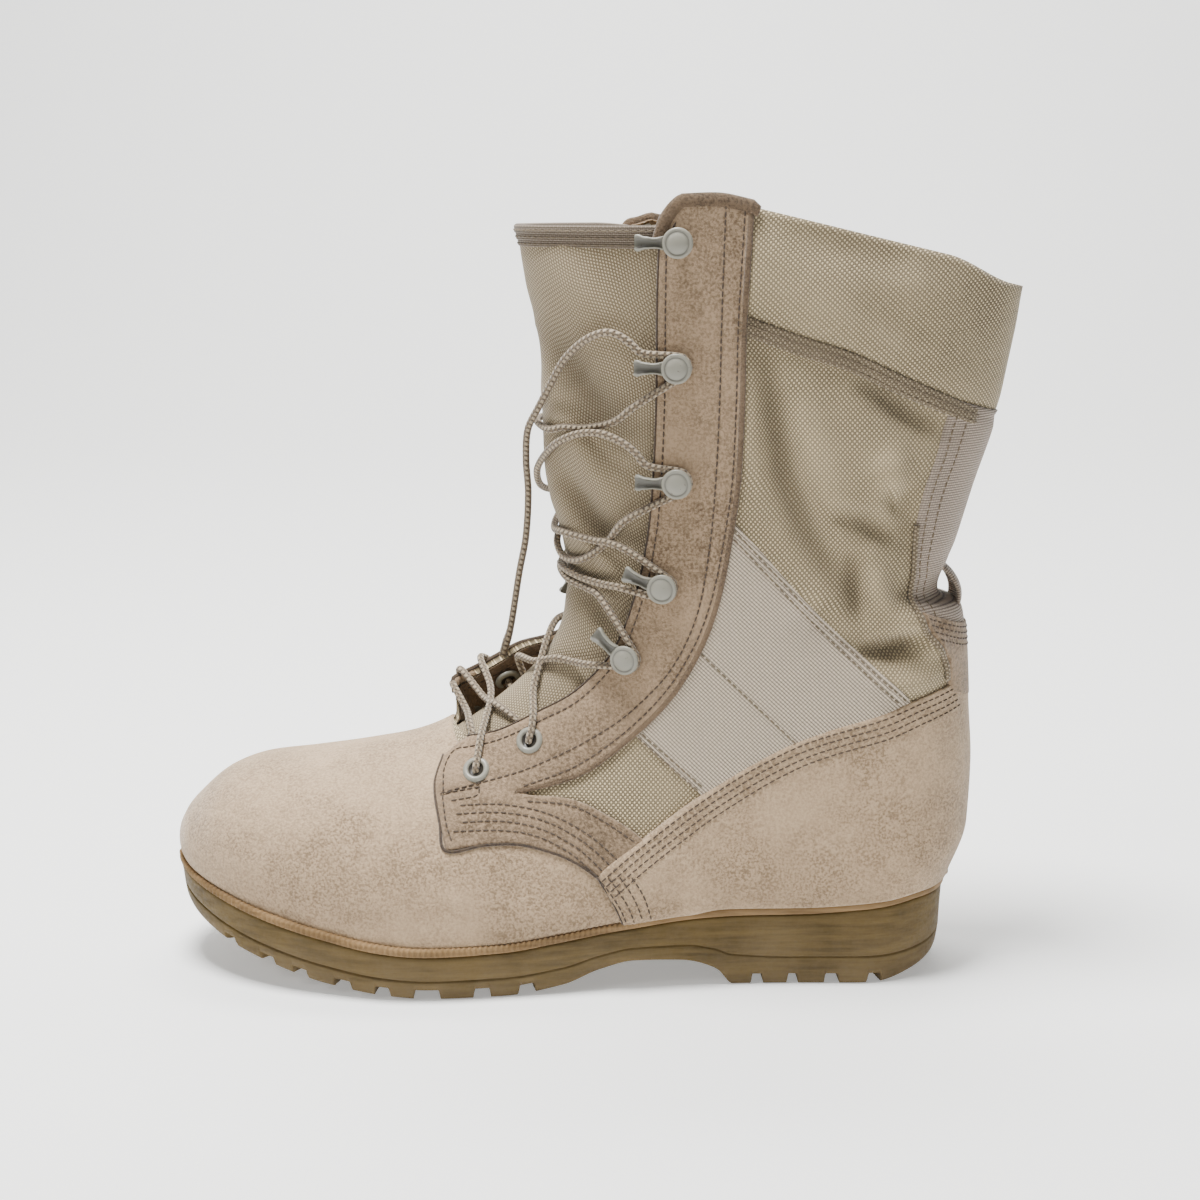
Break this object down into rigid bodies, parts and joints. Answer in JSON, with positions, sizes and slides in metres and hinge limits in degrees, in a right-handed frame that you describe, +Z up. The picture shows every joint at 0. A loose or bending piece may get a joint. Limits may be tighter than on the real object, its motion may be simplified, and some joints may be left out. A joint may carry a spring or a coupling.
{
  "type": "combat boot",
  "caption": "Left desert combat boot with a roughout suede foot, woven shaft, folded tongue, speed hooks, a loose lace and a lugged rubber sole.",
  "frame": {"origin": "on the floor, under the middle of the heel", "axes": "+X from the toe to the heel, -Y to the lateral side, +Z up; the sole's flat spots lie on Z = 0"},
  "size_m": [0.3379, 0.1108, 0.31],
  "materials": {
    "suede": "roughout suede, matte",
    "cloth": "basket-woven nylon, low sheen",
    "rubber": "matte moulded rubber",
    "welt": "matte, ribbed",
    "metal": "satin paint",
    "lace": "round braid, matte",
    "footbed": "felt, matte"
  },
  "bodies": {
    "root": {"outsole": "rubber", "midsole": "rubber", "welt": "welt", "insole": "footbed", "upper": "suede", "tongue": "cloth", "hook_lateral_1": "metal", "hook_lateral_2": "metal", "hook_lateral_3": "metal", "hook_lateral_4": "metal", "hook_lateral_5": "metal", "hook_medial_1": "metal", "hook_medial_2": "metal", "hook_medial_3": "metal", "hook_medial_4": "metal", "hook_medial_5": "metal", "eyelet_lateral_1": "metal", "eyelet_lateral_2": "metal", "eyelet_medial_1": "metal", "eyelet_medial_2": "metal", "lace_crossing_1": "lace", "lace_crossing_2": "lace", "lace_crossing_3": "lace", "lace_crossing_4": "lace", "lace_crossing_5": "lace", "lace_crossing_6": "lace", "lace_loop": "lace", "lace_end": "lace"}
  },
  "joints": []
}
